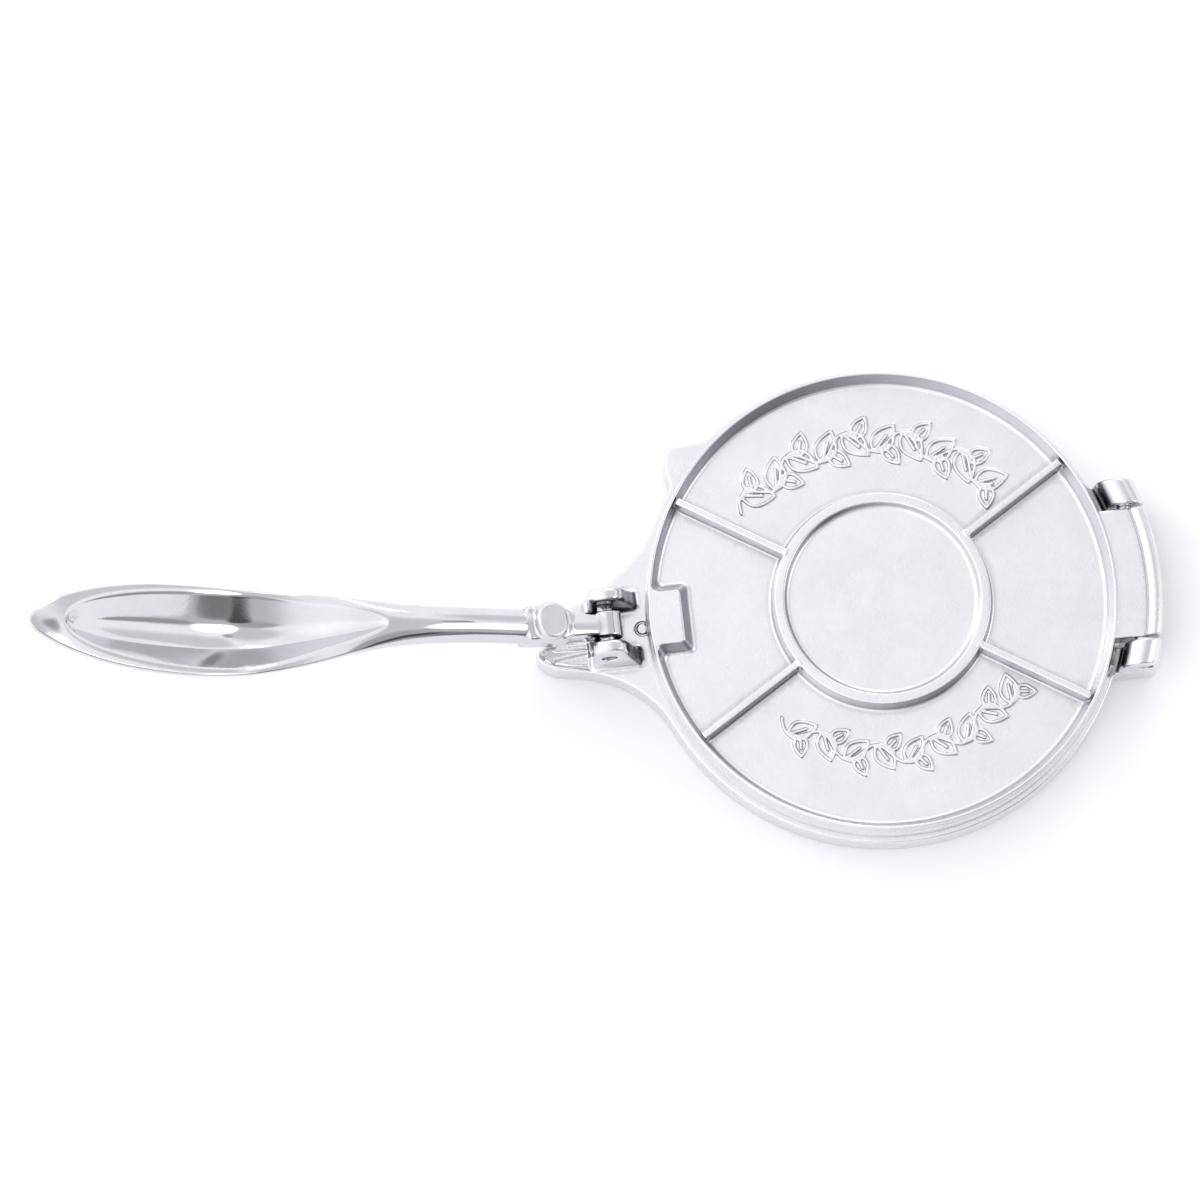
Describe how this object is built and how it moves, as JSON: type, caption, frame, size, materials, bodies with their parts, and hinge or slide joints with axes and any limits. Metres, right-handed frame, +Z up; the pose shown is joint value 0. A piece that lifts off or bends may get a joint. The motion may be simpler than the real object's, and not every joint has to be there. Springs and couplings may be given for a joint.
{
  "type": "tortilla press",
  "caption": "Cast aluminium tortilla press: round base plate with a hinged lid and a swing-over lever with a spoon-shaped grip that presses the lid down.",
  "frame": {"origin": "on the table under the middle of the round plates, on the foot of the crossing ribs under the base", "axes": "+Z up, +X from the middle towards the lid hinge, so the lever fork is at -X; the lever and the lid both turn about Y"},
  "size_m": [0.3741, 0.1652, 0.1158],
  "materials": {
    "base_casting": "tumbled casting, bright on the edges",
    "lid_casting": "tumbled casting with a bright rim",
    "lever_casting": "mirror polished",
    "pin_steel": "plain turned pin"
  },
  "bodies": {
    "base": {"base": "base_casting", "lever_pin": "pin_steel", "hinge_pin_left": "pin_steel", "hinge_pin_right": "pin_steel"},
    "lid": {"lid": "lid_casting"},
    "lever": {"lever": "lever_casting"}
  },
  "joints": [
    {"name": "lid_hinge", "type": "hinge", "parent": "base", "child": "lid", "pos_m": [0.086, 0, 0.0176], "axis": [0, 1, 0], "range_deg": [0, 180]},
    {"name": "lever_pivot", "type": "hinge", "parent": "base", "child": "lever", "pos_m": [-0.0943, 0.0003, 0.0227], "axis": [0, 1, 0], "range_deg": [0, 135]}
  ]
}
